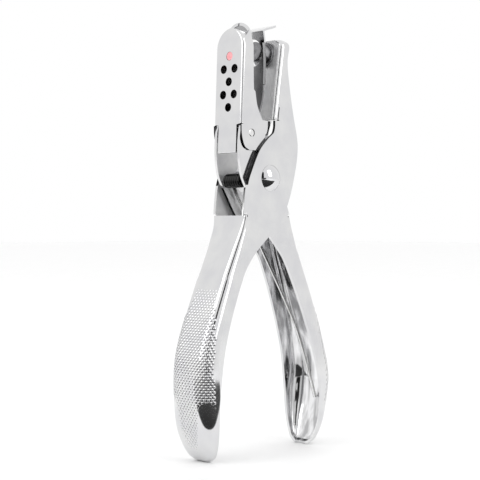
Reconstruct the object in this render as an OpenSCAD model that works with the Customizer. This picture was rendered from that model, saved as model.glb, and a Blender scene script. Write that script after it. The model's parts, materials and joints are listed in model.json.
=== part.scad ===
// Plier hole punch: two crossed levers of pressed sheet steel, nested one inside the other and
// joined by a domed rivet. The inner lever carries the die and a hinged chip cover, the outer
// lever carries the punch, and a spring leaf between the jaws strips the paper off the punch.
// The punch stands on its handle toes, jaws up. X runs across the jaws, Y along the pivot.

/* [Sheet metal] */
// Thickness of the steel of both levers
sheet = 0.9; // [0.8:0.05:0.9]
// Thickness of the steel of the chip cover
cover_sheet = 0.5; // [0.4:0.05:0.5]
// Thickness of the spring leaf that strips the paper
leaf_sheet = 0.6; // [0.4:0.05:0.6]
// Half the clear width between the inner lever's flanges
die_inner = 4.4; // [4.4:0.02:4.5]
// Side gap between two parts that slide past each other
side_gap = 0.06; // [0.04:0.01:0.07]

/* [Punch and die] */
// Diameter of the hole that is punched
punch_d = 6; // [5.5:0.1:6]
// Radial gap between the punch and the die
die_gap = 0.2; // [0.2:0.05:0.3]
// Height of the punch above the pivot when the jaws are closed
punch_up = 37.9; // [37.5:0.1:38]
// Reach of the punch from the outer lever's web to its cutting face
punch_reach = 4.8; // [4.4:0.1:4.8]
// Angle between the jaws at rest
jaw_open = 8.7; // [8.5:0.1:9]

/* [Pivot and pins] */
// Height of the main pivot above the handle toes
pivot_height = 82.5; // [82:0.1:83]
// Diameter of the main rivet's shank
rivet_d = 5; // [4:0.1:5]
// Diameter of the main rivet's domed heads
rivet_head_d = 8; // [7:0.1:8]
// Height of the main rivet's domed heads
rivet_head_h = 2; // [1.5:0.1:2]
// Diameter of the pin that the cover and the leaf turn on
hinge_pin_d = 2.2; // [2:0.1:2.2]
// Diameter of the pin inside the torsion spring
spring_pin_d = 1.8; // [1.6:0.1:1.8]
// Radial running gap of a pin in its bore
running_gap = 0.05; // [0.03:0.01:0.08]

/* [Spring] */
// Diameter of the torsion spring's wire
wire_d = 1.1; // [0.9:0.1:1.1]
// Number of turns in the torsion spring
spring_turns = 7; // [5:1:7]

/* [Chip cover] */
// Diameter of the sight holes in the cover
sight_hole_d = 2.6; // [2.2:0.1:2.6]
// Height between one row of sight holes and the next
sight_row = 3.8; // [3.6:0.1:3.8]
// Distance between the two holes of a double row
sight_pair = 4.5; // [4:0.1:4.6]

/* [Hidden] */
$fn = 64;
far = 60;
cut = 0.5;
span_steps = 4;

// Stack of widths, from the inner lever outwards
die_outer = die_inner + sheet;
cover_inner = die_outer + side_gap;
cover_outer = cover_inner + cover_sheet;
punch_inner = cover_outer + side_gap + 0.02;
punch_outer = punch_inner + sheet;
boss_outer = punch_inner - 0.04;

// Jaws: the die face is upright, and the punch lever's web lies against it when closed
die_face = -5.6;
web_offset = -1.36;
jaw_top = 42.3;
web_foot = 17.6;
paper_stop = 17.1;
handle_top = -11.2;
stop_edge = 2;

// Chip cover: a web that leans out towards its foot
cover_top = 44.3;
cover_lean = 0.04;
cover_face = -10.5;
cover_face_height = 38.7;
cover_foot = 15.8;
tongue_half = 4.15;
tongue_foot = 7.3;
marker_up = 36;

// Pins, as [x, z] from the pivot
hinge_at = [-7.1, 13.2];
spring_at = [-8.3, -0.8];
boss_r = 4.7;
boss_wall = 0.5;

// Outer lever, [x, z] from the pivot: the edge that the web follows, from throat to toe
punch_back = [[1.9, 15.4], [1.2, 13.4], [-0.8, 12], [-4.6, 8.2], [-7.8, 2.4], [-9.6, -2],
    [-10.4, -7.5], [-11.1, -13.5], [-13.8, -20], [-19.5, -32], [-24.9, -44], [-27.6, -52.5],
    [-28.2, -60], [-27.9, -67], [-26.8, -73.5], [-25.2, -78.5], [-23.4, -81.5], [-21.6, -82.5]];
// and its open edge, from toe to jaw
punch_front = [[-20.8, -81.6], [-21.6, -78], [-22.4, -73], [-22.6, -66.5], [-22, -60],
    [-20.5, -52], [-17.9, -43.5], [-14.4, -34.8], [-10.9, -27.8], [-6.6, -22.4], [-1.2, -17.8],
    [4.2, -13.4], [8.2, -6], [10.7, 2], [11.8, 8], [11.6, 12.5], [9.9, 19.4], [8.2, 28],
    [7.3, 35], [8.1, 39.6]];
// Half width of the outer lever as [y, z], from toe to jaw
punch_width = [[2.2, -82.5], [4.4, -81.4], [6, -79.2], [7.4, -75.5], [8.2, -71], [8.5, -65],
    [8.4, -59], [8, -51], [7.6, -42], [7.2, -31], [punch_outer, -19], [punch_outer, 60]];

// Inner lever: the edge that the web follows, from paper stop to toe
die_back = [[stop_edge, paper_stop], [0.5, 13], [1.6, 9.5], [4.6, 4.5], [6.4, -1], [7.9, -6],
    [10.1, -11.5], [12.5, -17], [16.9, -27.5], [22.2, -40], [26.2, -51.5], [28.2, -60],
    [27.7, -67], [26.3, -73.5], [24.6, -78.5], [22.9, -81.5], [21.2, -82.5]];
// and its open edge, from toe to cover
die_front = [[20.8, -81.6], [21.2, -78], [21.5, -73], [21.4, -66], [20.4, -59], [18.9, -52.5],
    [16, -44], [13.2, -36.8], [10.4, -30.5], [6.6, -23.2], [1.4, -17.5], [-4.2, -10.3],
    [-6.7, -6.3], [-8.9, -2.8], [-10.6, 0.4], [-11.4, 3.8], [-11.7, 7.5], [-11.6, 11],
    [-11.35, 13.8], [-10.8, 15.6]];
// Half width of the inner lever as [y, z], from toe to jaw
die_width = [[2.2, -82.5], [4.2, -81.4], [5.6, -79.2], [6.9, -75.5], [7.7, -71], [8, -65],
    [7.75, -59], [7.3, -52.5], [6.75, -43], [6, -31], [5.5, -22], [die_outer, -17], [die_outer, 0]];
die_arch = 41.05;

// Free edge and round foot of the cover's flanges, from the top down
cover_edge = [[-6.3, 28.5], [-5.6, 25.5], [-4.9, 21.8], [-3.6, 18.9], [-2.4, 16.9], [-1.6, 15],
    [-1.3, 13], [-1.8, 11], [-3.2, 9.2], [-5.2, 8.1], [-7.4, 7.9], [-9.4, 8.6], [-10.6, 10.2]];

// Middle line of the stripper leaf, from its eye to its flared lip
leaf_line = [[-6, 14.6], [-4.4, 16.6], [-2.3, 19.4], [-0.8, 23.2], [-0.2, 28], [0.1, 34],
    [-0.2, 39.6], [-0.9, 44]];
lip_end = [4.4, 46];
leaf_half = 4.8;
foot_half = 4.2;
leaf_flange = 0.9;
leaf_hole = [37.2, 38.6];
leaf_hole_r = punch_d / 2 + 0.35;
eye_r = 1.9;

// Legs of the torsion spring, [x, y, z] from the pivot
die_leg = [[-6.8, 3.3, -1.4], [5.6, 3, -20.2], [15.6, 1.4, -38.2], [20.8, 0, -50.4], [25.8, -1.7, -68.4]];
punch_leg = [[-6.7, -3.3, -1], [-8.2, -3.3, -11.8], [-12, -3.3, -20], [-17.5, -3.3, -32], [-22.6, -3.3, -43.5]];

// A smooth curve through a list of points
function curve_at(a, b, c, d, t) =
    (2 * b + (c - a) * t + (2 * a - 5 * b + 4 * c - d) * t * t + (3 * b - a - 3 * c + d) * t * t * t) / 2;
function curve(p) = [
    for (i = [0 : len(p) - 2], k = [0 : span_steps - 1])
        curve_at(p[max(i - 1, 0)], p[i], p[i + 1], p[min(i + 2, len(p) - 1)], k / span_steps),
    p[len(p) - 1]];

// The same curve moved sideways, to the left of its direction for a positive distance
function heading(p, i) = p[min(i + 1, len(p) - 1)] - p[max(i - 1, 0)];
function beside(p, d) = [for (i = [0 : len(p) - 1])
    let (h = heading(p, i)) p[i] + d * [-h[1], h[0]] / norm(h)];
function below(p, z) = [for (q = p) if (q[1] < z) q];
function backwards(p) = [for (i = [len(p) - 1 : -1 : 0]) p[i]];

// A symmetrical front outline from a list of half widths
function both_sides(w, less) = concat(
    [for (q = w) [q[0] - less, q[1]]],
    [for (q = backwards(w)) [less - q[0], q[1]]]);
function arch(r, z) = [for (a = [0 : 6 : 90]) [r * cos(a), z + r * sin(a)]];

// Place on the open punch lever of a point given for the closed jaws
function opened(p) = [
    p[0] * cos(jaw_open) + p[1] * sin(jaw_open),
    p[1] * cos(jaw_open) - p[0] * sin(jaw_open)];
function cover_x(z) = cover_face - (cover_face_height - z) * cover_lean;

module at_pivot() {
    translate([0, 0, pivot_height]) children();
}

// An outline in X and Z, thick along Y
module side(points, half = far) {
    rotate([90, 0, 0]) linear_extrude(2 * half, center = true) polygon(points);
}

// An outline in Y and Z, long along X
module front(points) {
    rotate([90, 0, 90]) linear_extrude(2 * far, center = true) polygon(points);
}

module pin(at, r, half) {
    translate([at[0], 0, at[1]]) rotate([90, 0, 0]) cylinder(r = r, h = 2 * half, center = true);
}

// A round bar along X at a height, from one x to another
module bar(x0, x1, z, r) {
    translate([x0, 0, z]) rotate([0, 90, 0]) cylinder(r = r, h = x1 - x0);
}

module wire(points) {
    for (i = [0 : len(points) - 2]) {
        d = points[i + 1] - points[i];
        translate(points[i]) {
            sphere(d = wire_d + 0.1, $fn = 24);
            rotate([0, acos(d[2] / norm(d)), atan2(d[1], d[0])]) cylinder(d = wire_d, h = norm(d), $fn = 24);
        }
    }
}

punch_back_curve = curve(punch_back);
punch_outline = concat([opened([web_offset, jaw_top]), opened([web_offset, web_foot])],
    punch_back_curve, curve(punch_front), [[7.9, 41.4], [7.2, 42.2]]);
punch_hollow = concat(beside(below(punch_back_curve, -8), sheet), [[0, sheet - pivot_height], [20, -8.5]]);

module punch_lever() {
    color("gainsboro") at_pivot() difference() {
        intersection() {
            side(punch_outline);
            front(both_sides(punch_width, 0));
        }
        intersection() {
            side(punch_hollow);
            front(both_sides(punch_width, sheet));
        }
        side([opened([web_offset + sheet, far]), opened([web_offset + sheet, 0]), [20, 0], [20, far]], punch_inner);
        side([[-16, handle_top], [20, handle_top], [20, 5], [3.2, web_foot], [-16, web_foot]], punch_inner);
        pin([0, 0], rivet_d / 2, far);
        rotate([0, jaw_open, 0]) bar(web_offset - cut, web_offset + sheet + cut, punch_up, 2.25);
    }
}

die_back_curve = curve(die_back);
die_outline = concat([[die_face, far], [die_face, paper_stop]], die_back_curve, curve(die_front),
    [[cover_x(15.6) + 0.65, 15.6], [cover_x(44) + 0.65, 44], [cover_x(44) + 0.65, far]]);
die_hollow = concat(beside(below(die_back_curve, -9), -sheet), [[0, sheet - pivot_height], [-16, -9.5]]);

module die_lever() {
    color("gainsboro") at_pivot() difference() {
        union() {
            intersection() {
                side(die_outline);
                front(both_sides(concat(die_width, arch(die_outer, die_arch)), 0));
            }
            pin([0, 0], boss_r, boss_outer);
        }
        intersection() {
            side(die_hollow);
            front(both_sides(die_width, sheet));
        }
        side([[-16, handle_top], [-16, far], [die_face - sheet, far], [die_face - sheet, paper_stop],
            [20, paper_stop], [20, handle_top]], die_inner);
        pin([0, 0], boss_r - boss_wall, boss_outer - sheet);
        pin([0, 0], rivet_d / 2 + running_gap, far);
        pin(hinge_at, hinge_pin_d / 2, far);
        pin(spring_at, spring_pin_d / 2, far);
        bar(die_face - sheet - cut, die_face + cut, punch_up, 3.9);
    }
}

// Turned and hardened punch: a nose with a dished cutting face, a shoulder against the web,
// and a tenon through the web with its end riveted over
module punch_pin() {
    face = web_offset - punch_reach;
    back = web_offset + sheet;
    color("dimgray") at_pivot() rotate([0, jaw_open, 0]) translate([0, 0, punch_up]) rotate([0, 90, 0])
        rotate_extrude() polygon([[0, face + 0.5], [punch_d / 2, face], [punch_d / 2, web_offset - 0.9],
            [4, web_offset - 0.9], [4, web_offset], [2.25, web_offset], [2.25, back], [3.4, back],
            [3, back + 0.6], [2, back + 0.9], [0, back + 1]]);
}

// Hardened ring that the punch shears against
module die_bush() {
    inside = die_face - sheet;
    color("silver") at_pivot() difference() {
        union() {
            bar(inside, die_face, punch_up, 3.9);
            bar(inside - 0.8, inside, punch_up, 4.25);
        }
        bar(inside - 2, die_face + cut, punch_up, punch_d / 2 + die_gap);
    }
}

leaf_curve = curve(leaf_line);
leaf_band = concat(beside(leaf_curve, leaf_sheet / 2), backwards(beside(leaf_curve, -leaf_sheet / 2)));
lip_band = [leaf_line[7] - [0.3, 0], lip_end + [0, 0.3], lip_end - [0, 0.3], leaf_line[7] - [-0.3, 0.5]];
rib_curve = curve([for (i = [4 : 6]) leaf_line[i]]);
rib_band = concat(rib_curve, backwards(beside(rib_curve, leaf_sheet / 2 + leaf_flange)));

// Leaf with an eye on the hinge pin, an oblong hole for the punch, folded ribs along its sides
// and a lip that flares away from the die
module stripper_leaf() {
    color("silver") at_pivot() difference() {
        union() {
            intersection() {
                side(leaf_band);
                union() {
                    translate([-far, -leaf_half, 18.8]) cube([2 * far, 2 * leaf_half, far]);
                    translate([-far, -foot_half, 0]) cube([2 * far, 2 * foot_half, 20]);
                }
            }
            side(lip_band, leaf_half);
            difference() {
                side(rib_band, leaf_half);
                side(rib_band, leaf_half - leaf_sheet);
            }
            pin(hinge_at, eye_r, foot_half);
        }
        pin(hinge_at, hinge_pin_d / 2 + running_gap, far);
        for (z = leaf_hole) bar(-4, 4, z, leaf_hole_r);
        translate([-4, -leaf_hole_r, leaf_hole[0]]) cube([8, 2 * leaf_hole_r, leaf_hole[1] - leaf_hole[0]]);
    }
}

// Sight holes as [y, z]: the marker's hole, then rows of two, one, two and one
sight_holes = [for (row = [0 : 4], side = [-1, 1])
    if (row % 2 == 1 || side > 0) [row % 2 * side * sight_pair / 2, marker_up - row * sight_row]];
cover_outline = concat(curve(cover_edge),
    [[cover_x(cover_foot), cover_foot], [cover_x(cover_top), cover_top + cut], [-6.3, cover_top + cut]]);

module chip_cover() {
    color("gainsboro") at_pivot() difference() {
        union() {
            difference() {
                intersection() {
                    side(cover_outline);
                    front(both_sides(concat([[cover_outer, 0]], arch(cover_outer, cover_top - cover_outer)), 0));
                }
                side([[0, 0], [cover_x(0) + cover_sheet, 0], [cover_x(far) + cover_sheet, far], [0, far]], cover_inner);
                side([[-16, 0], [0, 0], [0, cover_foot], [-16, cover_foot]], cover_inner);
            }
            side([[cover_x(tongue_foot), tongue_foot], [cover_x(20), 20], [cover_x(20) + cover_sheet, 20],
                [cover_x(tongue_foot) + cover_sheet, tongue_foot]], tongue_half);
        }
        for (h = sight_holes) translate([0, h[0], 0]) bar(-13, -8, h[1], sight_hole_d / 2);
        pin(hinge_at, hinge_pin_d / 2 + running_gap, far);
    }
}

// Coloured plug in the top sight hole, a little below the cover's face
module position_marker() {
    face = cover_x(marker_up) + 0.15;
    inside = cover_x(marker_up) + cover_sheet + 0.1;
    color("lightcoral") at_pivot() {
        bar(face, inside, marker_up, sight_hole_d / 2);
        bar(inside, inside + 0.3, marker_up, sight_hole_d / 2 + 0.5);
    }
}

module cover_hinge_pin() {
    color("silver") at_pivot() pin(hinge_at, hinge_pin_d / 2, cover_outer);
}

module dome() {
    r = (rivet_head_d * rivet_head_d / 4 + rivet_head_h * rivet_head_h) / (2 * rivet_head_h);
    intersection() {
        translate([0, punch_outer + rivet_head_h - r, 0]) sphere(r = r);
        translate([-far, punch_outer, -far]) cube(2 * far);
    }
}

module pivot_rivet() {
    color("gainsboro") at_pivot() {
        pin([0, 0], rivet_d / 2, punch_outer);
        dome();
        mirror([0, 1, 0]) dome();
    }
}

module spring_pin() {
    color("dimgray") at_pivot() pin(spring_at, spring_pin_d / 2, die_outer);
}

// Close-wound coil on its pin, with one long leg down each handle
module torsion_spring() {
    coil_in = spring_pin_d / 2 + 0.15;
    color("dimgray") at_pivot() {
        difference() {
            pin(spring_at, coil_in + wire_d, spring_turns * wire_d / 2);
            pin(spring_at, coil_in, far);
        }
        wire(die_leg);
        wire(punch_leg);
    }
}

punch_lever();
die_lever();
punch_pin();
die_bush();
stripper_leaf();
chip_cover();
position_marker();
cover_hinge_pin();
pivot_rivet();
spring_pin();
torsion_spring();
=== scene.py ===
"""Plier hole punch: pressed, polished and nickel plated levers, a chip cover with sight holes,
a spring leaf, a torsion spring, a hardened punch and die. Lengths are in millimetres from the
main pivot until a piece is put in its place."""

import json
import math

import bmesh
import bpy
from mathutils import Matrix, Vector


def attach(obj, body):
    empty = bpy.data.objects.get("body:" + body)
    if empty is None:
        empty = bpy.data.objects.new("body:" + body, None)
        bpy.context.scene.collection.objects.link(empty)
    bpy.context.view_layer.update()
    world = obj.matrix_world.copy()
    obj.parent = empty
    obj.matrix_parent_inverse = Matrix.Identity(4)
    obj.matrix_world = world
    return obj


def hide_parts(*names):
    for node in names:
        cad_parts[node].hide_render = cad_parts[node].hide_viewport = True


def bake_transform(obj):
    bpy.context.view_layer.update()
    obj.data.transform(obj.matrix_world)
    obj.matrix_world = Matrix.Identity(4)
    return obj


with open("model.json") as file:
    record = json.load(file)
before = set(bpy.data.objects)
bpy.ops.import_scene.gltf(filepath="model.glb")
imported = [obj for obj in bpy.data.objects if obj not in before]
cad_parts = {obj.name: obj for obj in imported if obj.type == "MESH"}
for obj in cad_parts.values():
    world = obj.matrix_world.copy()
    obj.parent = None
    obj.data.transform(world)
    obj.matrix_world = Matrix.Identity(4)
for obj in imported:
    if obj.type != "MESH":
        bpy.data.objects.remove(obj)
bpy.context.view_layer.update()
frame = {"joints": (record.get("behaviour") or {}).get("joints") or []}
MM = 0.001
JOINTS = {joint["name"]: joint for joint in frame["joints"]}
PIVOT = Vector(JOINTS["main_pivot"]["pos_m"]) / MM
HINGE = Vector(JOINTS["cover_hinge"]["pos_m"]) / MM - PIVOT
JAW_OPEN = math.radians(JOINTS["main_pivot"]["range_deg"][1])
TINY = 1e-6

# Steel thicknesses and the stack of half widths, from the inner lever outwards
SHEET = 0.9
COVER_SHEET = 0.5
LEAF_SHEET = 0.6
DIE_HALF = 5.3
COVER_HALF = 5.86
PUNCH_HALF = 6.84

# Outer lever, (x, z): the edge that the web follows, its free edge, and (half width, z)
PUNCH_WEB = [(1.9, 15.4), (1.2, 13.4), (-0.8, 12), (-4.6, 8.2), (-7.8, 2.4), (-9.6, -2),
             (-10.4, -7.5), (-11.1, -13.5), (-13.8, -20), (-19.5, -32), (-24.9, -44),
             (-27.6, -52.5), (-28.2, -60), (-27.9, -67), (-26.8, -73.5), (-25.2, -78.5),
             (-23.4, -81.5), (-21.6, -82.5)]
PUNCH_FREE = [(-20.8, -82.5), (-20.8, -81.6), (-21.6, -78), (-22.4, -73), (-22.6, -66.5), (-22, -60),
              (-20.5, -52), (-17.9, -43.5), (-14.4, -34.8), (-10.9, -27.8), (-6.6, -22.4),
              (-1.2, -17.8), (4.2, -13.4), (8.2, -6), (10.7, 2), (11.8, 8), (11.6, 12.5),
              (9.9, 19.4), (8.2, 28), (7.3, 35), (8.1, 39.6), (7.9, 41.4), (7.2, 42.1)]
PUNCH_WIDTH = [(2.2, -82.5), (4.4, -81.4), (6, -79.2), (7.4, -75.5), (8.2, -71), (8.5, -65),
               (8.4, -59), (8, -51), (7.6, -42), (7.2, -31), (PUNCH_HALF, -19), (PUNCH_HALF, 60)]
# Its jaw, measured with the jaws closed: the foot, face and top of the web, its bend and corner
PUNCH_FOOT = 17.6
PUNCH_FACE = -1.36
PUNCH_TOP = 42.3
PUNCH_BEND = 1.6
PUNCH_CORNER = 2.4

# Inner lever in the same way
DIE_WEB = [(2, 17.1), (0.5, 13), (1.6, 9.5), (4.6, 4.5), (6.4, -1), (7.9, -6), (10.1, -11.5),
           (12.5, -17), (16.9, -27.5), (22.2, -40), (26.2, -51.5), (28.2, -60), (27.7, -67),
           (26.3, -73.5), (24.6, -78.5), (22.9, -81.5), (21.2, -82.5)]
DIE_FREE = [(20.5, -82.5), (20.8, -81.6), (21.2, -78), (21.5, -73), (21.4, -66), (20.4, -59),
            (18.9, -52.5), (16, -44), (13.2, -36.8), (10.4, -30.5), (6.6, -23.2), (1.4, -17.5),
            (-4.2, -10.3), (-6.7, -6.3), (-8.9, -2.8), (-10.6, 0.4), (-11.4, 3.8), (-11.7, 7.5),
            (-11.6, 11), (-11.3, 13.8), (-10.8, 15.6)]
DIE_WIDTH = [(2.2, -82.5), (4.2, -81.4), (5.6, -79.2), (6.9, -75.5), (7.7, -71), (8, -65),
             (7.75, -59), (7.3, -52.5), (6.75, -43), (6, -31), (5.5, -22), (DIE_HALF, -17),
             (DIE_HALF, 60)]
# Its jaw: the face of the web, where the paper stops, the foot of the web, its bend, the middle
# of its round top, and the hole that the die sits in
DIE_FACE = -5.6
PAPER_STOP = 17.1
DIE_FOOT = PAPER_STOP + 0.7
DIE_BEND = 1.2
DIE_ARCH = 41.05
DIE_SEAT = 3.9

# Handles of both levers: heights close together round the toe, the top of the web, (bend radius,
# z), and the height of the shoulder under the jaws
TOE = (-82.5, -82, -81, -78)
HANDLE_TOP = -11.2
HANDLE_BEND = [(5.6, -80), (5.6, -66), (4.4, -52), (3.0, -36), (2.2, -21), (1.5, -15), (0.5, -11)]
SHOULDER = 12

# End of a web: the slit that frees it from the flanges, its depth in general and in the punch's
# jaw, its width, and the gap over the end
NOTCH = 0.4
JAW_NOTCH = 3.8
SLIT = 0.35
GAP = 0.3

# Grip pips: height, half width, half length, pitch up the handle and across it, first and last,
# and where the web starts to sink by their height and the run it takes
PIP_RISE = 0.17
PIP_WIDE = 0.46
PIP_LONG = 0.5
PIP_PITCH = 1.5
PIP_COLUMN = 1.2
PIP_FIRST = -33
PIP_LAST = -79
PIP_SINK = (-30, 8)

# Chip cover: free edge of its flanges, (x, z), and the round foot of each flange
COVER_FREE = [(-5.2, 8.1), (-3.2, 9.2), (-1.8, 11), (-1.3, 13), (-1.6, 15), (-2.4, 16.9),
              (-3.6, 18.9), (-4.9, 21.8), (-5.6, 25.5), (-6.3, 28.5), (-6.3, 60)]
COVER_HEEL = [(-7.4, 7.9), (-9.4, 8.6), (-10.6, 10.2), (-11.3, 13), (-11.4, 15.8)]
COVER_TOP = 44.3
COVER_FOOT = 15.8
COVER_EAR = 8.1
COVER_BEND = 0.9
TONGUE_FOOT = 7.3
TONGUE_HALF = 3.75

# Outer face of the cover's web: one point of it, (x, z), and its lean
COVER_FACE = (-10.5, 38.7)
COVER_LEAN = 0.04

# Sight holes: radius, spacing of the rows and of a pair, and the marker's own hole above them
SIGHT_HOLE = 1.3
SIGHT_ROW = 3.8
SIGHT_PAIR = 4.5
MARKER_UP = 36

# Stripper leaf: its middle line from the eye upwards, the end of its lip, its half widths above
# and below its step, the depth and the lowest and highest point of its ribs, and its eye
LEAF_LINE = [(-6, 14.6), (-4.4, 16.6), (-2.3, 19.4), (-0.8, 23.2), (-0.2, 28), (0.1, 34),
             (-0.2, 39.6), (-0.9, 44)]
LEAF_LIP = (4.4, 46)
LEAF_HALF = 4.8
LEAF_FOOT_HALF = 4.2
LEAF_STEP = 18.8
LEAF_RIB = 1.2
LEAF_RIBBED = (27, 40.5)
LEAF_BEND = 0.7
LEAF_FLAT = 0.05
LEAF_EYE = (1.15, 1.9)

# Punch: height of its axis, radius of its nose and reach of its nose from the web
PUNCH_UP = 37.9
PUNCH_NOSE = 3
PUNCH_REACH = 4.8

# Torsion spring: middle of the coil, wire, turns, radius to the wire's middle, where the wire
# leaves the coil, and the two legs
SPRING_AT = (-8.3, -0.8)
SPRING_WIRE = 1.1
SPRING_TURNS = 7
COIL_R = 1.6
COIL_START = math.radians(20)
DIE_LEG = [(-4.4, 3.4, -4.4), (5.6, 3, -20.2), (15.6, 1.4, -38.2), (20.8, 0, -50.4),
           (25.6, -1.7, -68.2)]
PUNCH_LEG = [(-8.2, -3.3, -11.8), (-12, -3.3, -20), (-17.5, -3.3, -32), (-22.4, -3.3, -43.2)]


def placed(x, y, z):
    """A point from the main pivot, in millimetres, as a point of the row frame in metres."""
    return (PIVOT + Vector((x, y, z))) * MM


def curve(points, steps=8):
    """A smooth line through the points, close enough together to read by height."""
    p = [Vector(q) for q in points]
    line = []
    for i in range(len(p) - 1):
        a, b, c, d = p[max(i - 1, 0)], p[i], p[i + 1], p[min(i + 2, len(p) - 1)]
        for k in range(steps):
            t = k / steps
            line.append((2 * b + (c - a) * t + (2 * a - 5 * b + 4 * c - d) * t ** 2
                         + (3 * b - a - 3 * c + d) * t ** 3) / 2)
    line.append(p[-1])
    return line


def at_height(line, z):
    """The first number of a line of (value, height) at one height."""
    ordered = line if line[0][1] < line[-1][1] else line[::-1]
    if z <= ordered[0][1]:
        return ordered[0][0]
    for a, b in zip(ordered, ordered[1:]):
        if z <= b[1]:
            return a[0] + (b[0] - a[0]) * (z - a[1]) / max(b[1] - a[1], TINY)
    return ordered[-1][0]


def heights(*marks, step=1.0):
    """Heights from the lowest mark to the highest, with every mark among them."""
    found = [marks[0]]
    for a, b in zip(marks, marks[1:]):
        count = max(1, round((b - a) / step))
        found += [a + (b - a) * (i + 1) / count for i in range(count)]
    return found


def cover_x(z):
    """Outer face of the chip cover's web, which leans out towards its foot."""
    x, up = COVER_FACE
    return x - (up - z) * COVER_LEAN


def arch_heights(middle, radius, top):
    """Heights up a half-round top, closer together towards its crown."""
    return [middle + radius * math.sin(math.radians(a)) for a in range(8, 88, 8)] + [top]


def arch_half(middle, radius, z):
    """Half width of a half-round top at a height, with a little left at the crown."""
    return max(math.sqrt(max(radius ** 2 - (z - middle) ** 2, 0)), 0.2)


def opened(x, z):
    """Where a point given for closed jaws is on the outer lever at rest."""
    return (x * math.cos(JAW_OPEN) + z * math.sin(JAW_OPEN),
            z * math.cos(JAW_OPEN) - x * math.sin(JAW_OPEN))


# ---- Mesh tools ----

# Material slots of a folded sheet, and two more that a piece may use as it needs
OUTSIDE, CUT, INSIDE, FOURTH, FIFTH = range(5)


def new_object(name, bm):
    """Turns a mesh being made into an object of the scene."""
    mesh = bpy.data.meshes.new(name)
    bm.to_mesh(mesh)
    bm.free()
    made = bpy.data.objects.new(name, mesh)
    bpy.context.scene.collection.objects.link(made)
    return made


def in_place(bm):
    """Takes a mesh from millimetres at the pivot to metres in the row frame."""
    bmesh.ops.scale(bm, vec=(MM, MM, MM), verts=bm.verts)
    bmesh.ops.translate(bm, vec=PIVOT * MM, verts=bm.verts)


def settle(made, sharp=32):
    """Applies the modifiers, then shades smooth up to a sharp angle in degrees."""
    bpy.context.view_layer.update()
    graph = bpy.context.evaluated_depsgraph_get()
    mesh = bpy.data.meshes.new_from_object(made.evaluated_get(graph))
    made.modifiers.clear()
    made.data = mesh
    bm = bmesh.new()
    bm.from_mesh(mesh)
    for face in bm.faces:
        face.smooth = True
    for edge in bm.edges:
        edge.smooth = edge.calc_face_angle(0) < math.radians(sharp)
    bm.to_mesh(mesh)
    bm.free()
    return made


def section_point(row, cell, sides, bends, webs):
    """One point of a folded section: free edge, flange, slit, bend, web, and the same again. A
    row may be flat instead of folded, or have a heel, where its bend starts, and a tongue, the
    half width of its web."""
    total = 2 * (sides + bends) + webs
    side = -1
    if cell > total / 2:
        cell, side = total - cell, 1
    web, free = Vector(row["web"]), Vector(row["free"])
    depth = (free - web).length
    inward = (free - web) / max(depth, TINY)
    half = row["half"]
    bend = min(row["bend"], depth * 0.95, half * 0.85)
    fold = row.get("heel", bend)
    if cell < sides:
        slit = fold + min(SLIT, (depth - fold) / 2)
        along, y = depth + (slit - depth) * cell / (sides - 1), half
    elif cell == sides:
        along, y = fold, half
    elif row.get("flat"):
        along, y = bend * (1 - min((cell - sides) / bends, 1)), half
    elif cell <= sides + bends:
        angle = math.pi / 2 * (cell - sides) / bends
        along, y = bend - bend * math.sin(angle), half - bend + bend * math.cos(angle)
        if cell == sides + bends:
            y = row.get("tongue", y)
    else:
        share = (cell - sides - bends) / (webs / 2)
        along, y = 0, row.get("tongue", half - bend) * (1 - share)
    x, z = web + inward * along
    return Vector((x, side * y, z))


def zone_of(cell, sides, bends):
    """The zone of a folded section that a cell is in, counted from the free edge."""
    if cell < sides - 1:
        return "side"
    if cell < sides:
        return "slit"
    return "bend" if cell < sides + bends else "web"


def folded_sheet(name, rows, thickness, sides=3, bends=8, webs=10, edge=0.08, cutters=()):
    """A sheet folded to a channel, row by row. Each row names the zones kept above it."""
    total = 2 * (sides + bends) + webs
    bm = bmesh.new()
    bmesh.ops.create_grid(bm, x_segments=total, y_segments=len(rows) - 1, size=0.5)
    dropped = []
    for face in bm.faces:
        middle = face.calc_center_median()
        cell = int((middle.x + 0.5) * total)
        row = rows[int((middle.y + 0.5) * (len(rows) - 1))]
        if zone_of(min(cell, total - 1 - cell), sides, bends) not in row["keep"]:
            dropped.append(face)
    for vert in bm.verts:
        cell = round((vert.co.x + 0.5) * total)
        row = rows[round((vert.co.y + 0.5) * (len(rows) - 1))]
        vert.co = section_point(row, cell, sides, bends, webs)
    bmesh.ops.delete(bm, geom=dropped, context="FACES")
    bm.normal_update()
    near_side = [face for face in bm.faces if face.calc_center_median().y < 0]
    if sum(face.normal.y * face.calc_area() for face in near_side) > 0:
        bmesh.ops.reverse_faces(bm, faces=bm.faces)
    in_place(bm)
    made = new_object(name, bm)
    for slot in (OUTSIDE, CUT, INSIDE):
        made.data.materials.append(None)
    wall = made.modifiers.new("wall", "SOLIDIFY")
    wall.thickness = thickness * MM
    wall.offset = -1
    wall.use_even_offset = True
    wall.material_offset = INSIDE
    wall.material_offset_rim = CUT
    rounding = made.modifiers.new("rounding", "BEVEL")
    rounding.width = edge * MM
    rounding.segments = 2
    rounding.limit_method = "ANGLE"
    rounding.angle_limit = math.radians(50)
    for cutter in cutters:
        cut = made.modifiers.new("cut", "BOOLEAN")
        cut.object = cutter
        cut.solver = "EXACT"
    settle(made)
    for cutter in cutters:
        bpy.data.objects.remove(cutter)
    even = made.modifiers.new("even_shading", "WEIGHTED_NORMAL")
    even.keep_sharp = True
    even.weight = 80
    return made


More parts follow.
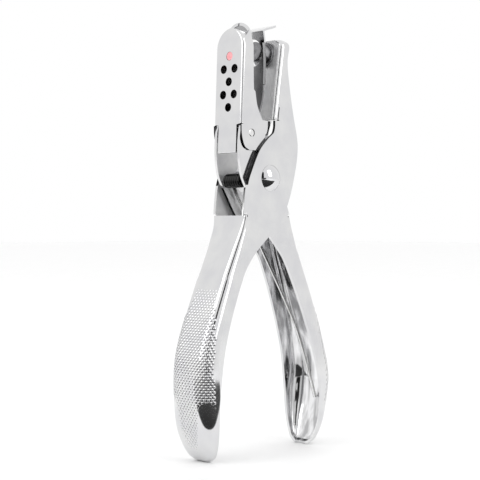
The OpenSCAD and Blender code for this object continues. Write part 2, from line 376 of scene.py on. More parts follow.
def turned(name, profile, at, axis, edge=0.1, steps=48, tidy=True):
    """A turned piece from (radius, along) points, spun about an axis through a point."""
    bm = bmesh.new()
    verts = [bm.verts.new((r, 0, a)) for r, a in profile]
    edges = [bm.edges.new(pair) for pair in zip(verts, verts[1:])]
    bmesh.ops.spin(bm, geom=verts + edges, cent=(0, 0, 0), axis=(0, 0, 1), angle=2 * math.pi,
                   steps=steps, use_merge=True)
    bmesh.ops.remove_doubles(bm, verts=bm.verts, dist=0.001)
    bmesh.ops.recalc_face_normals(bm, faces=bm.faces)
    if edge:
        sharp = [e for e in bm.edges if e.calc_face_angle(0) > math.radians(40)]
        bmesh.ops.bevel(bm, geom=sharp, offset=edge, segments=2, profile=0.5, affect="EDGES",
                        material=-1, clamp_overlap=True)
    turn = Vector((0, 0, 1)).rotation_difference(Vector(axis)).to_matrix().to_4x4()
    bmesh.ops.transform(bm, matrix=Matrix.Translation(at) @ turn, verts=bm.verts)
    in_place(bm)
    made = new_object(name, bm)
    return settle(made) if tidy else made


def cutting_bar(start, end, radius):
    """A plain round bar that a hole is cut with."""
    way = Vector(end) - Vector(start)
    return turned("cutter", [(0, 0), (radius, 0), (radius, way.length), (0, way.length)],
                  start, way, edge=0, steps=40, tidy=False)


def joined(made, bm):
    """Adds a mesh in metres to a finished piece."""
    extra = bpy.data.meshes.new("extra")
    bm.to_mesh(extra)
    bm.free()
    whole = bmesh.new()
    whole.from_mesh(made.data)
    whole.from_mesh(extra)
    for face in whole.faces:
        face.smooth = True
    whole.to_mesh(made.data)
    whole.free()
    bpy.data.meshes.remove(extra)
    return made


def merged(made, part):
    """Adds a turned part that is one with a piece, and removes the part's own object."""
    bm = bmesh.new()
    bm.from_mesh(part.data)
    bpy.data.objects.remove(part)
    return joined(made, bm)


# ---- Materials ----

def linear(hex_colour):
    """An sRGB hex colour as the linear colour that a shader takes."""
    parts = [int(hex_colour[i:i + 2], 16) / 255 for i in (0, 2, 4)]
    return [p / 12.92 if p <= 0.04045 else ((p + 0.055) / 1.055) ** 2.4 for p in parts] + [1.0]


def per(size):
    """The noise scale that gives features of a size in millimetres."""
    return 1 / (size * MM)


def node(tree, kind, settings=None, inputs=None, links=None):
    """Adds a node with its settings, input values and links."""
    made = tree.nodes.new(kind)
    for name, value in (settings or {}).items():
        setattr(made, name, value)
    for name, value in (inputs or {}).items():
        made.inputs[name].default_value = value
    for name, source in (links or {}).items():
        tree.links.new(source, made.inputs[name])
    return made


def start_material(name, colour, metallic, roughness):
    """A material with its shader and its Object coordinates."""
    made = bpy.data.materials.new(name)
    made.use_nodes = True
    tree = made.node_tree
    shader = tree.nodes["Principled BSDF"]
    shader.inputs["Base Color"].default_value = linear(colour)
    shader.inputs["Metallic"].default_value = metallic
    shader.inputs["Roughness"].default_value = roughness
    spot = node(tree, "ShaderNodeTexCoord").outputs["Object"]
    return made, tree, shader, spot


def finish_material(tree, shader, colour, roughness, bump=None):
    """Links a colour, a roughness and the last bump to the shader."""
    tree.links.new(colour.outputs["Result"], shader.inputs["Base Color"])
    tree.links.new(roughness.outputs[0], shader.inputs["Roughness"])
    if bump:
        tree.links.new(bump.outputs["Normal"], shader.inputs["Normal"])


# The middle of a noise pattern, which a colour or a roughness is spread over
MIDDLE = {"From Min": 0.35, "From Max": 0.65}


def nickel_plate():
    """Pressed mild steel, barrel polished and bright nickel plated: nearly a mirror, with the
    slight waviness of the pressing, a breath of haze and fine handling scratches."""
    made, tree, shader, spot = start_material("bright_nickel_plate", "DADADB", 1.0, 0.1)
    haze = node(tree, "ShaderNodeTexNoise", inputs={"Scale": per(7), "Detail": 4},
                links={"Vector": spot})
    share = node(tree, "ShaderNodeMapRange", inputs=MIDDLE, links={"Value": haze.outputs["Fac"]})
    colour = node(tree, "ShaderNodeMix", {"data_type": "RGBA"},
                  {"A": linear("D6D6D8"), "B": linear("DEDEDE")}, {"Factor": share.outputs["Result"]})
    along = node(tree, "ShaderNodeMapping", inputs={"Scale": (1, 1, 0.06)}, links={"Vector": spot})
    scratch = node(tree, "ShaderNodeTexNoise", inputs={"Scale": per(0.5), "Detail": 2},
                   links={"Vector": along.outputs["Vector"]})
    dull = node(tree, "ShaderNodeMapRange", inputs={**MIDDLE, "To Min": 0.05, "To Max": 0.11},
                links={"Value": haze.outputs["Fac"]})
    worn = node(tree, "ShaderNodeMapRange", inputs={**MIDDLE, "To Min": 0.0, "To Max": 0.04},
                links={"Value": scratch.outputs["Fac"]})
    rough = node(tree, "ShaderNodeMath", {"operation": "ADD"},
                 links={0: dull.outputs["Result"], 1: worn.outputs["Result"]})
    swell = node(tree, "ShaderNodeTexNoise", inputs={"Scale": per(9), "Detail": 1},
                 links={"Vector": spot})
    wave = node(tree, "ShaderNodeBump", inputs={"Distance": 0.02 * MM, "Strength": 0.35},
                links={"Height": swell.outputs["Fac"]})
    marks = node(tree, "ShaderNodeBump", inputs={"Distance": 0.002 * MM, "Strength": 0.25},
                 links={"Height": scratch.outputs["Fac"], "Normal": wave.outputs["Normal"]})
    finish_material(tree, shader, colour, rough, marks)
    return made


def recess_nickel():
    """The same plate inside the handles, where it goes on thin and is never buffed: streaks
    along the drawing direction."""
    made, tree, shader, spot = start_material("thin_nickel_in_recess", "D0D0D1", 1.0, 0.14)
    along = node(tree, "ShaderNodeMapping", inputs={"Scale": (1, 1, 0.07)}, links={"Vector": spot})
    streak = node(tree, "ShaderNodeTexNoise", inputs={"Scale": per(2.2), "Detail": 2},
                  links={"Vector": along.outputs["Vector"]})
    share = node(tree, "ShaderNodeMapRange", inputs={"From Min": 0.4, "From Max": 0.6},
                 links={"Value": streak.outputs["Fac"]})
    colour = node(tree, "ShaderNodeMix", {"data_type": "RGBA"},
                  {"A": linear("B8B8B9"), "B": linear("F0F0F1")}, {"Factor": share.outputs["Result"]})
    rough = node(tree, "ShaderNodeMapRange", inputs={**MIDDLE, "To Min": 0.06, "To Max": 0.14},
                 links={"Value": streak.outputs["Fac"]})
    drawn = node(tree, "ShaderNodeBump", inputs={"Distance": 0.05 * MM, "Strength": 0.5},
                 links={"Height": streak.outputs["Fac"]})
    finish_material(tree, shader, colour, rough, drawn)
    return made


def throat_nickel():
    """Plate between the jaws and under the cover, rougher than the bright plate and painted with
    shade: a mid grey with dark blotches, going lighter towards the top."""
    made, tree, shader, spot = start_material("painted_shade_nickel_in_throat", "9A9A9B", 1.0, 0.3)
    place = node(tree, "ShaderNodeSeparateXYZ", links={"Vector": spot})
    throat_blotches = node(tree, "ShaderNodeTexNoise", inputs={"Scale": per(3), "Detail": 3},
                links={"Vector": spot})
    half_blotches = node(tree, "ShaderNodeMath", {"operation": "MULTIPLY"}, {1: 0.5},
                     {0: throat_blotches.outputs["Fac"]})
    # Painted shade: darker low in the throat, going lighter up to the top of the jaws
    up = node(tree, "ShaderNodeMapRange",
              inputs={"From Min": placed(0, 0, 18).z, "From Max": placed(0, 0, 42).z, "To Max": 0.6},
              links={"Value": place.outputs["Z"]})
    share = node(tree, "ShaderNodeMath", {"operation": "ADD"},
                 links={0: half_blotches.outputs["Value"], 1: up.outputs["Result"]})
    colour = node(tree, "ShaderNodeMix", {"data_type": "RGBA"},
                  {"A": linear("6C6C6E"), "B": linear("A8A8A9")}, {"Factor": share.outputs["Value"]})
    rough = node(tree, "ShaderNodeMapRange", inputs={**MIDDLE, "To Min": 0.24, "To Max": 0.4},
                 links={"Value": throat_blotches.outputs["Fac"]})
    finish_material(tree, shader, colour, rough)
    return made


def satin_nickel():
    """Plate inside the folded steel by the pivot, never buffed: a satin roughness, a little cloudy,
    and a paler, partly diffuse grey than the bright plate, painted light inside the channel."""
    made, tree, shader, spot = start_material("unbuffed_nickel_painted_light_by_pivot", "ECECED", 0.75, 0.45)
    cloud = node(tree, "ShaderNodeTexNoise", inputs={"Scale": per(4), "Detail": 3},
                 links={"Vector": spot})
    share = node(tree, "ShaderNodeMapRange", inputs=MIDDLE, links={"Value": cloud.outputs["Fac"]})
    colour = node(tree, "ShaderNodeMix", {"data_type": "RGBA"},
                  {"A": linear("E2E2E3"), "B": linear("F6F6F6")}, {"Factor": share.outputs["Result"]})
    rough = node(tree, "ShaderNodeMapRange", inputs={**MIDDLE, "To Min": 0.36, "To Max": 0.5},
                 links={"Value": cloud.outputs["Fac"]})
    along = node(tree, "ShaderNodeMapping", inputs={"Scale": (1, 1, 0.2)}, links={"Vector": spot})
    drawn = node(tree, "ShaderNodeTexNoise", inputs={"Scale": per(0.4), "Detail": 2},
                 links={"Vector": along.outputs["Vector"]})
    marks = node(tree, "ShaderNodeBump", inputs={"Distance": 0.004 * MM, "Strength": 0.4},
                 links={"Height": drawn.outputs["Fac"]})
    finish_material(tree, shader, colour, rough, marks)
    return made


def cut_edge():
    """Sheared steel edge, thinly plated over the torn grain of the cut so duller and somewhat darker;
    its near black colour is mostly painted shade for the shadowed gaps and hole walls it is put on.
    """
    made, tree, shader, spot = start_material("sheared_edge_and_painted_shade", "1C1C1D", 1.0, 0.42)
    across = node(tree, "ShaderNodeMapping", inputs={"Scale": (1, 4, 1)}, links={"Vector": spot})
    grain = node(tree, "ShaderNodeTexNoise", inputs={"Scale": per(0.35), "Detail": 3},
                 links={"Vector": across.outputs["Vector"]})
    share = node(tree, "ShaderNodeMapRange", inputs=MIDDLE, links={"Value": grain.outputs["Fac"]})
    colour = node(tree, "ShaderNodeMix", {"data_type": "RGBA"},
                  {"A": linear("0C0C0D"), "B": linear("2A2A2B")}, {"Factor": share.outputs["Result"]})
    rough = node(tree, "ShaderNodeMapRange", inputs={**MIDDLE, "To Min": 0.34, "To Max": 0.5},
                 links={"Value": grain.outputs["Fac"]})
    torn = node(tree, "ShaderNodeBump", inputs={"Distance": 0.02 * MM, "Strength": 0.5},
                links={"Height": grain.outputs["Fac"]})
    finish_material(tree, shader, colour, rough, torn)
    return made


def spring_steel():
    """Drawn and tempered spring steel, bright plated: shiny wire with faint draw marks, and a near
    black painted shade round the coil."""
    made, tree, shader, spot = start_material("drawn_spring_steel", "C9C8C5", 1.0, 0.16)
    along = node(tree, "ShaderNodeMapping", inputs={"Scale": (1, 1, 0.15)}, links={"Vector": spot})
    drawn = node(tree, "ShaderNodeTexNoise", inputs={"Scale": per(0.6), "Detail": 2},
                 links={"Vector": along.outputs["Vector"]})
    share = node(tree, "ShaderNodeMapRange", inputs=MIDDLE, links={"Value": drawn.outputs["Fac"]})
    bright = node(tree, "ShaderNodeMix", {"data_type": "RGBA"},
                  {"A": linear("D2D2D1"), "B": linear("EEEEEE")}, {"Factor": share.outputs["Result"]})
    # Painted shade: the wire is near black round the coil and bright a few millimetres from it
    away = node(tree, "ShaderNodeVectorMath", {"operation": "DISTANCE"},
                {1: placed(SPRING_AT[0], 0, SPRING_AT[1])}, {0: spot})
    out_of_coil_shade = node(tree, "ShaderNodeMapRange", inputs={"From Min": 4 * MM, "From Max": 9 * MM},
                 links={"Value": away.outputs["Value"]})
    colour = node(tree, "ShaderNodeMix", {"data_type": "RGBA"}, {"A": linear("343434")},
                  {"Factor": out_of_coil_shade.outputs["Result"], "B": bright.outputs["Result"]})
    rough = node(tree, "ShaderNodeMapRange", inputs={**MIDDLE, "To Min": 0.1, "To Max": 0.2},
                 links={"Value": drawn.outputs["Fac"]})
    marks = node(tree, "ShaderNodeBump", inputs={"Distance": 0.004 * MM, "Strength": 0.4},
                 links={"Height": drawn.outputs["Fac"]})
    finish_material(tree, shader, colour, rough, marks)
    return made


def hardened_steel():
    """Turned and ground tool steel, hardened and unplated: a mid grey, less bright than the
    nickel, with a soft sheen and fine turning marks."""
    made, tree, shader, spot = start_material("ground_tool_steel", "8C8C8E", 1.0, 0.24)
    scale = node(tree, "ShaderNodeTexNoise", inputs={"Scale": per(1.6), "Detail": 4},
                 links={"Vector": spot})
    share = node(tree, "ShaderNodeMapRange", inputs=MIDDLE, links={"Value": scale.outputs["Fac"]})
    colour = node(tree, "ShaderNodeMix", {"data_type": "RGBA"},
                  {"A": linear("757577"), "B": linear("A0A0A2")}, {"Factor": share.outputs["Result"]})
    rough = node(tree, "ShaderNodeMapRange", inputs={**MIDDLE, "To Min": 0.18, "To Max": 0.34},
                 links={"Value": scale.outputs["Fac"]})
    turning = node(tree, "ShaderNodeTexNoise", inputs={"Scale": per(0.25), "Detail": 2},
                   links={"Vector": spot})
    marks = node(tree, "ShaderNodeBump", inputs={"Distance": 0.004 * MM, "Strength": 0.5},
                 links={"Height": turning.outputs["Fac"]})
    finish_material(tree, shader, colour, rough, marks)
    return made


def marker_plastic():
    """Moulded polypropylene plug, salmon pink: a soft gloss with the sink of its thick middle."""
    made, tree, shader, spot = start_material("moulded_plug_pink", "EFA4A8", 0.0, 0.32)
    shader.inputs["IOR"].default_value = 1.49
    cloud = node(tree, "ShaderNodeTexNoise", inputs={"Scale": per(0.9), "Detail": 3},
                 links={"Vector": spot})
    share = node(tree, "ShaderNodeMapRange", inputs=MIDDLE, links={"Value": cloud.outputs["Fac"]})
    colour = node(tree, "ShaderNodeMix", {"data_type": "RGBA"},
                  {"A": linear("E9999E"), "B": linear("F4B2B4")}, {"Factor": share.outputs["Result"]})
    rough = node(tree, "ShaderNodeMapRange", inputs={**MIDDLE, "To Min": 0.26, "To Max": 0.4},
                 links={"Value": cloud.outputs["Fac"]})
    sink = node(tree, "ShaderNodeBump", inputs={"Distance": 0.01 * MM, "Strength": 0.2},
                links={"Height": cloud.outputs["Fac"]})
    finish_material(tree, shader, colour, rough, sink)
    return made


def studio_floor():
    """Matt white laminate, the plain surface under the punch."""
    made, tree, shader, spot = start_material("matt_white_laminate", "FCFCFC", 0.0, 0.6)
    cloud = node(tree, "ShaderNodeTexNoise", inputs={"Scale": per(30), "Detail": 3},
                 links={"Vector": spot})
    share = node(tree, "ShaderNodeMapRange", inputs=MIDDLE, links={"Value": cloud.outputs["Fac"]})
    colour = node(tree, "ShaderNodeMix", {"data_type": "RGBA"},
                  {"A": linear("FBFBFB"), "B": linear("FDFDFD")}, {"Factor": share.outputs["Result"]})
    rough = node(tree, "ShaderNodeMapRange", inputs={**MIDDLE, "To Min": 0.55, "To Max": 0.65},
                 links={"Value": cloud.outputs["Fac"]})
    finish_material(tree, shader, colour, rough)
    return made


NICKEL = nickel_plate()
EDGE = cut_edge()
RECESS = recess_nickel()
THROAT = throat_nickel()
SATIN = satin_nickel()
SPRING = spring_steel()
TOOL_STEEL = hardened_steel()
PINK = marker_plastic()


def dressed(made, body, node_name, slot, *materials):
    """Gives a piece its materials, the CAD node that it stands for and, if one is named, its body.
    Its slot is not used."""
    chosen = [face.material_index for face in made.data.polygons]
    made.data.materials.clear()
    for material in materials:
        made.data.materials.append(material)
    made.data.polygons.foreach_set("material_index", [min(i, len(materials) - 1) for i in chosen])
    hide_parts(node_name)
    if body:
        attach(made, body)
    return made


# ---- Levers ----

def bend_radius(z, jaw):
    """Tight bends by the pivot, softer ones where the hand holds the handles, and the jaw's."""
    return at_height(HANDLE_BEND, z) if z < 0 else jaw


def gripped(line, inward):
    """A handle's web line, sunk by a little more than the height of the pips where they are."""
    start, run = PIP_SINK
    sink = inward * (PIP_RISE + 0.02)
    return [Vector((x + sink * min(max((start - z) / run, 0), 1), z)) for x, z in line]


def folds(z, foot, notch):
    """Which zones of a lever's section there are above a height. The web stops at the pivot, and
    a short notch frees its end from the flanges, which run on flat to their edge."""
    z += TINY
    if z < HANDLE_TOP - NOTCH or z > foot + notch:
        return {"keep": "side slit bend web"}
    if z < HANDLE_TOP or z > foot:
        return {"keep": "side bend web"}
    if z < HANDLE_TOP + GAP:
        return {"keep": "side"}
    return {"keep": "side" if z > foot - GAP else "side slit bend", "flat": True}


def pips(made, web_line, width_line, inward):
    """Staggered raised pips pressed in a handle's web for grip. They follow the web round its
    bends, and grow lower and fewer over a long run at the top and a short one at the toe."""
    top_run, toe_run, probe = 14, 3, 0.4
    bm = bmesh.new()
    ball = bmesh.new()
    bmesh.ops.create_uvsphere(ball, u_segments=8, v_segments=6, radius=1)
    pip = bpy.data.meshes.new("pip")
    ball.to_mesh(pip)
    ball.free()
    for i in range(int((PIP_FIRST - PIP_LAST) / (PIP_PITCH / 2))):
        z = PIP_FIRST - i * PIP_PITCH / 2
        x, above, below = (at_height(web_line, z + d) for d in (0, probe, -probe))
        slope = math.atan2(above - below, 2 * probe)
        half, bend = at_height(width_line, z), at_height(HANDLE_BEND, z)
        ends = min(1, (PIP_FIRST - z) / top_run, (z - PIP_LAST) / toe_run)
        reach = (half + 0.25 * bend) * (0.5 + 0.5 * max(ends, 0))
        for k in range(-9, 10):
            around = (k + 0.5 * (i % 2)) * PIP_COLUMN
            if abs(around) > reach:
                continue
            over = max(abs(around) - half + bend, 0) / bend
            y = math.copysign(min(abs(around), half - bend) + bend * math.sin(over), around)
            roll = math.copysign(over, y) * inward
            sunk = bend - bend * math.cos(over)
            rise = PIP_RISE * min(1, 0.4 + ends)
            lie = (Matrix.Translation((x + inward * sunk, y, z)) @ Matrix.Rotation(slope, 4, "Y")
                   @ Matrix.Rotation(-roll, 4, "Z"))
            shape = lie @ Matrix.Diagonal((rise, PIP_WIDE, PIP_LONG, 1))
            pip.transform(shape)
            bm.from_mesh(pip)
            pip.transform(shape.inverted())
    bpy.data.meshes.remove(pip)
    in_place(bm)
    return joined(made, bm)


def paint(made, index, chosen, only=None):
    """Gives a material slot to the faces that a test on normal and middle chooses, of those that
    have one slot so far if it is named."""
    for face in made.data.polygons:
        if only in (None, face.material_index) and chosen(face.normal, face.center / MM - PIVOT):
            face.material_index = index


def punch_lever():
    """Outer lever: the left handle, and the jaw that holds the punch."""
    web_low, free, width = gripped(curve(PUNCH_WEB), 1), curve(PUNCH_FREE), curve(PUNCH_WIDTH)
    foot_x, foot = opened(PUNCH_FACE, PUNCH_FOOT)
    top_x, top = opened(PUNCH_FACE, PUNCH_TOP)
    marks = heights(*TOE, HANDLE_TOP - NOTCH, HANDLE_TOP, HANDLE_TOP + GAP, SHOULDER, foot - GAP,
                    foot, foot + JAW_NOTCH, top - PUNCH_CORNER, top - 1, top, step=0.8)
    rows = []
    for z in marks:
        lean = foot_x + (top_x - foot_x) * (z - foot) / (top - foot)
        web = lean if z > foot - GAP / 2 else at_height(web_low, z)
        rise = max(z - top + PUNCH_CORNER, 0)
        round_off = PUNCH_CORNER - math.sqrt(PUNCH_CORNER ** 2 - rise ** 2 * 0.98)
        rows.append({"web": (web, z), "free": (at_height(free, z), z),
                     "half": at_height(width, z) - round_off, "bend": bend_radius(z, PUNCH_BEND),
                     **folds(z, foot, JAW_NOTCH)})
    made = folded_sheet("outer_lever", rows, SHEET)
    pips(made, web_low, width, 1)
    # Edges are polished on the handle and the jaw; on the curve between they keep the near black cut
    # edge, painted shade for the gap between the levers
    paint(made, OUTSIDE, lambda n, c: c.z < -2.5 or c.z > PUNCH_FOOT + 3, only=CUT)
    # Inside by the pivot, and the face towards the paper, take the paler satin grey, painted light
    paint(made, FOURTH, lambda n, c: c.z > HANDLE_TOP - 6, only=INSIDE)
    paint(made, FOURTH, lambda n, c: (n.x < -0.85 and abs(c.y) < 6.2 and c.z > PUNCH_FOOT
                                      and c.x > 0))
    return dressed(made, "punch_lever", "punch_lever", "plated_steel", NICKEL, EDGE, RECESS, SATIN)


def die_lever():
    """Inner lever: the right handle, and the jaw with the die's web and its arched top."""
    web_low, free, width = gripped(curve(DIE_WEB), -1), curve(DIE_FREE), curve(DIE_WIDTH)
    free_top = DIE_FREE[-1][1]
    marks = heights(*TOE, HANDLE_TOP - NOTCH, HANDLE_TOP, HANDLE_TOP + GAP, SHOULDER, PAPER_STOP,
                    DIE_FOOT - GAP, DIE_FOOT, DIE_FOOT + NOTCH, DIE_ARCH)
    marks += arch_heights(DIE_ARCH, DIE_HALF, DIE_ARCH + DIE_HALF - 0.02)
    rows = []
    for z in marks:
        web = DIE_FACE if z > PAPER_STOP + 0.1 else at_height(web_low, z)
        half = arch_half(DIE_ARCH, DIE_HALF, z) if z > DIE_ARCH else at_height(width, z)
        front = at_height(free, z) if z < free_top else cover_x(z) + 0.7
        if z > DIE_ARCH:
            front += (DIE_FACE - 1.1 - front) * min(1, (z - DIE_ARCH) / 3)
        rows.append({"web": (web, z), "free": (front, z), "half": half,
                     "bend": bend_radius(z, DIE_BEND), **folds(z, DIE_FOOT, NOTCH)})
    # The flanges are thinned from inside round the rivet, and stand out in a boss round it
    recess = cutting_bar((0, -4.95, 0), (0, 4.95, 0), 4.2)
    seat = cutting_bar((DIE_FACE - 3, 0, PUNCH_UP), (DIE_FACE + 2, 0, PUNCH_UP), DIE_SEAT)
    made = folded_sheet("inner_lever", rows, SHEET, cutters=(recess, seat))
    pips(made, web_low, width, -1)
    boss = [(2.6, 5.0), (4.8, 5.0), (4.7, 5.7), (4.5, 5.88), (2.6, 5.88), (2.6, 5.0)]
    for side in (-1, 1):
        merged(made, turned("boss", boss, (0, 0, 0), (0, side, 0), edge=0, tidy=False))
    # Edges are polished but for those by the coil, which keep the near black cut edge as painted
    # shade
    paint(made, OUTSIDE, lambda n, c: c.z < HANDLE_TOP or c.z > -3, only=CUT)
    # The face towards the paper and the inside of the jaw take the darker throat grey, painted shade,
    # and the inside by the pivot the paler satin grey, painted light
    paint(made, FOURTH, lambda n, c: n.x > 0.85 and abs(c.y) < 5 and c.z > PAPER_STOP and c.x < -4)
    paint(made, FOURTH, lambda n, c: c.z > PAPER_STOP - 4, only=INSIDE)
    paint(made, FIFTH, lambda n, c: c.z > HANDLE_TOP - 6, only=INSIDE)
    return dressed(made, "die_lever", "die_lever", "plated_steel",
                   NICKEL, EDGE, RECESS, THROAT, SATIN)


# ---- Jaw pieces ----

def chip_cover():
    """Cover that catches the chips: round top, sight holes, ears to the hinge and a tongue."""
    free, heel = curve(COVER_FREE), curve(COVER_HEEL)
    arch = COVER_TOP - COVER_HALF
    marks = heights(TONGUE_FOOT, 7.9, COVER_EAR, 10.2, COVER_FOOT - 0.3, COVER_FOOT, 28.5, arch,
                    step=0.6)
    marks += arch_heights(arch, COVER_HALF, COVER_TOP - 0.004)
    rows = []
    for z in marks:
        row = {"web": (cover_x(z), z), "free": (at_height(free, z), z), "bend": COVER_BEND,
               "half": arch_half(arch, COVER_HALF, z) if z > arch else COVER_HALF,
               "keep": "side slit bend web"}
        if z < COVER_FOOT - TINY:
            row["keep"] = "web" if z < COVER_EAR - TINY else "web side slit"
            row["heel"] = at_height(heel, z) - cover_x(z)
            row["tongue"] = TONGUE_HALF
        rows.append(row)
    sights = []
    for i in range(1, 5):
        z = MARKER_UP - i * SIGHT_ROW
        sights += [(-SIGHT_PAIR / 2, z), (SIGHT_PAIR / 2, z)] if i % 2 else [(0, z)]
    sights.append((0, MARKER_UP))
    cutters = [cutting_bar((-13, y, z), (-8, y, z), SIGHT_HOLE) for y, z in sights]
    cutters.append(cutting_bar(HINGE - Vector((0, 9, 0)), HINGE + Vector((0, 9, 0)), 1.2))
    made = folded_sheet("chip_cover_shell", rows, COVER_SHEET, edge=0.05, cutters=cutters)
    # The walls of the sight holes take the near black cut edge, painted shade inside the holes
    paint(made, CUT, lambda n, c: (abs(n.x) < 0.7 and abs(c.y) < 4 and 18 < c.z < 38
                                   and c.x < -9.5), only=OUTSIDE)
    # The inside of the cover takes the darker throat grey, painted shade
    return dressed(made, "cover", "chip_cover", "plated_steel", NICKEL, EDGE, THROAT)


def stripper_leaf():
    """Spring leaf with folded ribs, an oblong hole for the punch and a flared lip."""
    line = curve(LEAF_LINE, 5)
    way = Vector(LEAF_LIP) - line[-1]
    line += [line[-1] + way * 0.12 + Vector((0, 0.25)), line[-1] + way * 0.35 + Vector((0, 0.2)),
             line[-1] + way * 0.7, Vector(LEAF_LIP)]
    rows = []
    for i, point in enumerate(line):
        ahead = line[min(i + 1, len(line) - 1)] - line[max(i - 1, 0)]
        left = Vector((-ahead.y, ahead.x)).normalized()
        outer = point - left * LEAF_SHEET / 2
        wide = point.y > LEAF_STEP
        ribbed = LEAF_RIBBED[0] < point.y < LEAF_RIBBED[1]
        rows.append({"web": outer, "free": outer + left * (LEAF_SHEET / 2 + LEAF_RIB),
                     "half": LEAF_HALF if wide else LEAF_FOOT_HALF,
                     "bend": LEAF_BEND if wide and outer.y <= LEAF_RIBBED[1] else LEAF_FLAT,
                     "keep": "side slit bend web" if ribbed else "web"})
    slot_bars = [cutting_bar((-4, 0, z), (4, 0, z), PUNCH_NOSE + 0.35)
                 for z in (PUNCH_UP - 0.7, PUNCH_UP, PUNCH_UP + 0.7)]
    made = folded_sheet("stripping_leaf", rows, LEAF_SHEET, bends=4, edge=0.1, cutters=slot_bars)
    bore, round_r = LEAF_EYE
    eye = [(bore, -LEAF_FOOT_HALF), (round_r, -LEAF_FOOT_HALF), (round_r, LEAF_FOOT_HALF),
           (bore, LEAF_FOOT_HALF), (bore, -LEAF_FOOT_HALF)]
    merged(made, turned("eye", eye, HINGE, (0, 1, 0), edge=0, tidy=False))
    # Painted shade in the throat: the faces low down and the ribs take the darker throat grey, while
    # the lip stays bright plate
    paint(made, FOURTH, lambda n, c: n.x < -0.6 and c.z < 38.5)
    paint(made, FOURTH, lambda n, c: abs(n.y) > 0.9 and c.z < 41)
    paint(made, OUTSIDE, lambda n, c: c.z > 41)
    return dressed(made, "stripper", "stripper_leaf", "spring_steel", NICKEL, EDGE, NICKEL, THROAT)


def punch():
    """Turned punch: a nose with a dished face, a shoulder, and a riveted end behind the web."""
    face, web, back = PUNCH_FACE - PUNCH_REACH, PUNCH_FACE, PUNCH_FACE + SHEET
    nose, shoulder, shank = PUNCH_NOSE, 3.95, 2.25
    profile = [(0, face + 0.5), (nose / 2, face + 0.38), (nose, face), (nose, web - 0.9),
               (shoulder, web - 0.9), (shoulder, web), (shank, web), (shank, back), (3.35, back),
               (3, back + 0.6), (2, back + 0.9), (0, back + 1)]
    x, z = opened(0, PUNCH_UP)
    axis = (math.cos(JAW_OPEN), 0, -math.sin(JAW_OPEN))
    made = turned("punch", profile, (x, 0, z), axis, edge=0.08, steps=64)
    return dressed(made, "punch_lever", "punch_pin", "hardened_steel", TOOL_STEEL)


def die():
    """Hardened ring that the punch shears against."""
    under, end = DIE_FACE - SHEET - 0.02, DIE_FACE - SHEET - 0.8
    bore, neck, collar = PUNCH_NOSE + 0.2, DIE_SEAT - 0.02, 4.2
    profile = [(bore, end), (collar, end), (collar, under), (neck, under), (neck, DIE_FACE),
               (bore, DIE_FACE), (bore, end)]
    made = turned("die_ring", profile, (0, 0, PUNCH_UP), (1, 0, 0), edge=0.06, steps=64)
    return dressed(made, "die_lever", "die_bush", "hardened_steel", TOOL_STEEL)


def marker():
    """Pink plug seen through the top sight hole."""
    face, plug, flange = cover_x(MARKER_UP) + 0.03, SIGHT_HOLE - 0.01, 1.75
    profile = [(0, 0.12), (0.6, 0.1), (1.05, 0.02), (plug, 0.06), (plug, 0.43), (flange, 0.43),
               (flange, 0.72), (0, 0.72)]
    made = turned("marker_plug", profile, (face, 0, MARKER_UP), (1, 0, 0), edge=0.05)
    return dressed(made, "cover", "position_marker", "marker_plastic", PINK)


# ---- Pins and spring ----

def rivet():
    """Main rivet with two low domed heads, each with a small flat land where it was upset."""
    head_r, shank, dome_r = 3.98, 2.48, 5.0
    middle = PUNCH_HALF - 3.02
    head = [(dome_r * math.sin(math.radians(a)), middle + dome_r * math.cos(math.radians(a)))
            for a in range(0, 53, 4)]
    head += [(head_r, PUNCH_HALF + 0.01), (shank, PUNCH_HALF + 0.01)]
    profile = head + [(r, -along) for r, along in reversed(head)]
    made = turned("main_rivet", profile, (0, 0, 0), (0, 1, 0), edge=0, steps=64)
    return dressed(made, "punch_lever", "pivot_rivet", "plated_steel", NICKEL)


def hinge_pin():
    """Pin that the cover and the leaf turn on, riveted flush in the cover's ears."""
    end = COVER_HALF - 0.005
    profile = [(0, -end), (0.8, -end), (1.09, -end + 0.12), (1.09, end - 0.12), (0.8, end), (0, end)]
    made = turned("cover_pin", profile, HINGE, (0, 1, 0), edge=0.05)
    return dressed(made, "die_lever", "cover_hinge_pin", "plated_steel", SPRING)


def spring_pin():
    """Pin through the coil of the torsion spring."""
    end = DIE_HALF - 0.01
    profile = [(0, -end), (0.7, -end), (0.89, -end + 0.15), (0.89, end - 0.15), (0.7, end), (0, end)]
    made = turned("coil_pin", profile, (SPRING_AT[0], 0, SPRING_AT[1]), (0, 1, 0), edge=0.05)
    return dressed(made, "die_lever", "spring_pin", "hardened_steel", TOOL_STEEL)


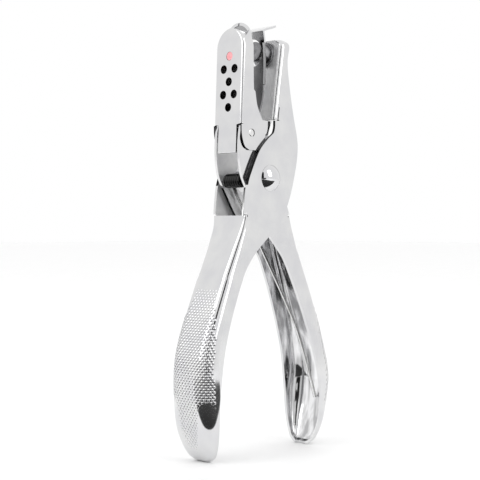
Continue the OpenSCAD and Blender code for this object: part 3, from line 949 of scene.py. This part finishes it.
def torsion_spring():
    """Close wound coil with a long leg down each handle, wound from one wire."""
    steps = 24
    half = (SPRING_TURNS - 1) * SPRING_WIRE / 2
    across, up = SPRING_AT
    coil = []
    count = steps * SPRING_TURNS
    for i in range(count + 1):
        angle = COIL_START + 2 * math.pi * i / steps
        y = -half + 2 * half * i / count
        coil.append((across + COIL_R * math.cos(angle), y, up + COIL_R * math.sin(angle)))
    lower = [tuple(p) for p in curve(PUNCH_LEG, 6)][::-1]
    upper = [tuple(p) for p in curve(DIE_LEG, 8)]
    points = lower + coil + upper
    data = bpy.data.curves.new("spring_path", "CURVE")
    data.dimensions = "3D"
    data.bevel_depth = SPRING_WIRE / 2 * MM
    data.bevel_resolution = 3
    data.use_fill_caps = True
    line = data.splines.new("POLY")
    line.points.add(len(points) - 1)
    for target, point in zip(line.points, points):
        target.co = (*placed(*point), 1)
    path = bpy.data.objects.new("spring_path", data)
    bpy.context.scene.collection.objects.link(path)
    bpy.context.view_layer.update()
    mesh = bpy.data.meshes.new_from_object(path.evaluated_get(bpy.context.evaluated_depsgraph_get()))
    bpy.data.objects.remove(path)
    made = bpy.data.objects.new("wound_spring", mesh)
    bpy.context.scene.collection.objects.link(made)
    settle(made, sharp=50)
    dressed(made, None, "torsion_spring", "spring_steel", SPRING)
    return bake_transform(made)


# ---- Studio ----

# Sizes and places are in metres
FRONT = Vector((-0.707, -0.707, 0))
DARK = "0C0C0C"
BOX_SIZE = (0.5, 0.9)
BOX_WATTS = 2.6
FLOOR_HALF = 4


def panel(name, at, toward, width, height, colour, turn=0, near=1):
    """A card of plain colour out of the camera's sight, for the plate to reflect. Its near end
    may be narrower than its far one."""
    bm = bmesh.new()
    bmesh.ops.create_grid(bm, x_segments=1, y_segments=1, size=0.5)
    for vert in bm.verts:
        if vert.co.x > 0:
            vert.co.y *= near
    bmesh.ops.scale(bm, vec=(width, height, 1), verts=bm.verts)
    bmesh.ops.rotate(bm, matrix=Matrix.Rotation(math.radians(turn), 3, "Z"), verts=bm.verts)
    made = new_object(name, bm)
    made.location = at
    made.rotation_mode = "QUATERNION"
    made.rotation_quaternion = (Vector(toward) - Vector(at)).to_track_quat("Z", "Y")
    made.data.materials.append(start_material(name, colour, 0.0, 0.9)[0])
    made.visible_camera = False
    made.visible_diffuse = False
    made.visible_shadow = False
    return made


def softbox(name, at, toward):
    """A large soft light that faces a point."""
    data = bpy.data.lights.new(name, "AREA")
    data.shape = "RECTANGLE"
    data.size, data.size_y = BOX_SIZE
    data.energy = BOX_WATTS
    made = bpy.data.objects.new(name, data)
    made.location = at
    made.rotation_mode = "QUATERNION"
    made.rotation_quaternion = (Vector(toward) - Vector(at)).to_track_quat("-Z", "Y")
    bpy.context.scene.collection.objects.link(made)
    return made


def studio():
    """White surroundings, a pale floor, soft boxes to the left and in front, and three dark cards
    for the plate to reflect: a tall one to the left, and a low and a flat one in front."""
    world = bpy.data.worlds.new("pale_room")
    bpy.context.scene.world = world
    world.use_nodes = True
    backdrop = world.node_tree.nodes["Background"]
    backdrop.inputs["Color"].default_value = (1, 1, 1, 1)
    backdrop.inputs["Strength"].default_value = 1.0
    bm = bmesh.new()
    bmesh.ops.create_grid(bm, x_segments=1, y_segments=1, size=FLOOR_HALF)
    floor = new_object("floor", bm)
    floor.data.materials.append(studio_floor())
    middle = placed(0, 0, -15)
    softbox("left_box", middle + Vector((-0.97, 0.26, 0.62)), middle)
    softbox("front_box", middle + Vector((0.05, -1.0, 0.62)), middle)
    tall = middle + Vector((-0.646, -0.505, 0.33))
    panel("tall_card", tall, Vector((middle.x, middle.y, tall.z)), 0.24, 0.78, DARK)
    wide = middle + FRONT * 0.7 + Vector((0, 0, -0.02))
    panel("wide_card", wide, middle, 0.42, 0.1, DARK)
    flat = Vector((middle.x, middle.y, 0.0005)) + FRONT * 0.31 + Vector((-0.012, 0.012, 0))
    panel("floor_card", flat, flat + Vector((0, 0, 1)), 0.54, 0.7, DARK, turn=45, near=0.06)
    bpy.context.scene.view_settings.view_transform = "Standard"


def camera():
    """Level camera to the left and in front, a long lens."""
    data = bpy.data.cameras.new("camera")
    data.lens = 92.8
    data.sensor_width = 36
    data.shift_y = -0.029
    made = bpy.data.objects.new("camera", data)
    made.location = placed(-267.4, -261.2, -14.3)
    made.rotation_euler = (math.pi / 2, 0, math.radians(-45))
    bpy.context.scene.collection.objects.link(made)
    bpy.context.scene.camera = made


camera()
studio()
punch_lever()
die_lever()
chip_cover()
stripper_leaf()
punch()
die()
marker()
rivet()
hinge_pin()
spring_pin()
torsion_spring()
